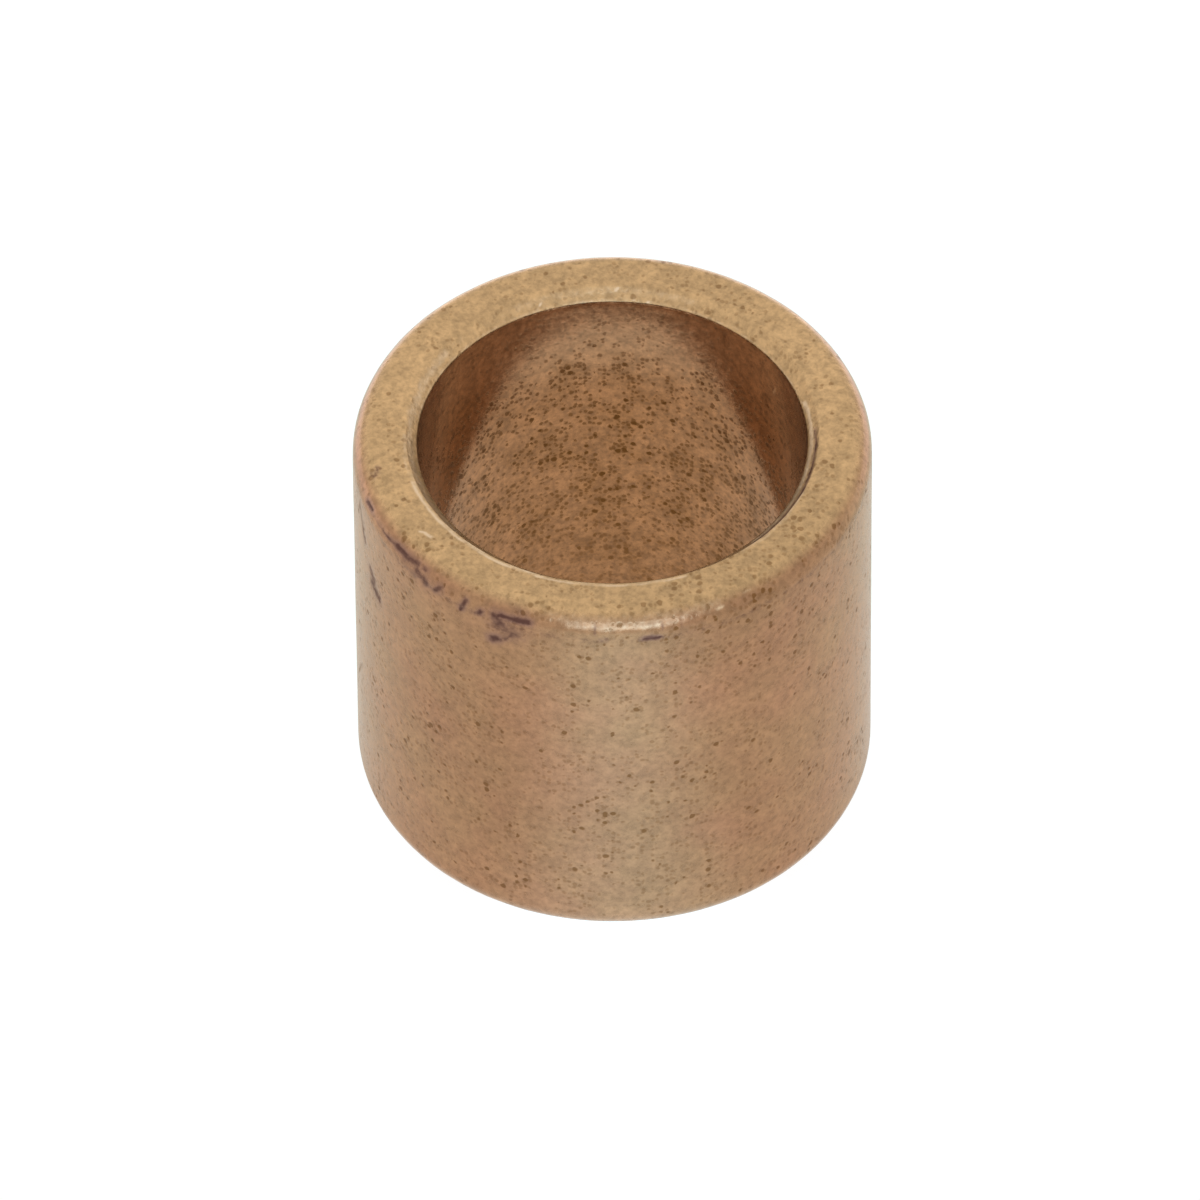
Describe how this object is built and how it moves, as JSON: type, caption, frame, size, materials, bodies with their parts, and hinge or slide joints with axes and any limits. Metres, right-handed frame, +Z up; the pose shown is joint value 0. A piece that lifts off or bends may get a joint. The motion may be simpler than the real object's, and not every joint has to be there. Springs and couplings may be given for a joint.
{
  "type": "sleeve bushing",
  "caption": "Plain sintered bronze sleeve bushing with a through bore and rounded edges, pressed into a housing to carry a turning or sliding shaft.",
  "frame": {"origin": "centre of the lower end face, on the bore axis", "axes": "+Z up along the bore axis; +X and +Y are free, because the ring is round"},
  "size_m": [0.016, 0.016, 0.014],
  "materials": {
    "sintered_bronze": "satin sintered bronze: fine dark open pores and a dull tan sheen, yellower on the end faces, browner in the bore"
  },
  "bodies": {
    "root": {"bushing_sleeve": "sintered_bronze"}
  },
  "joints": []
}
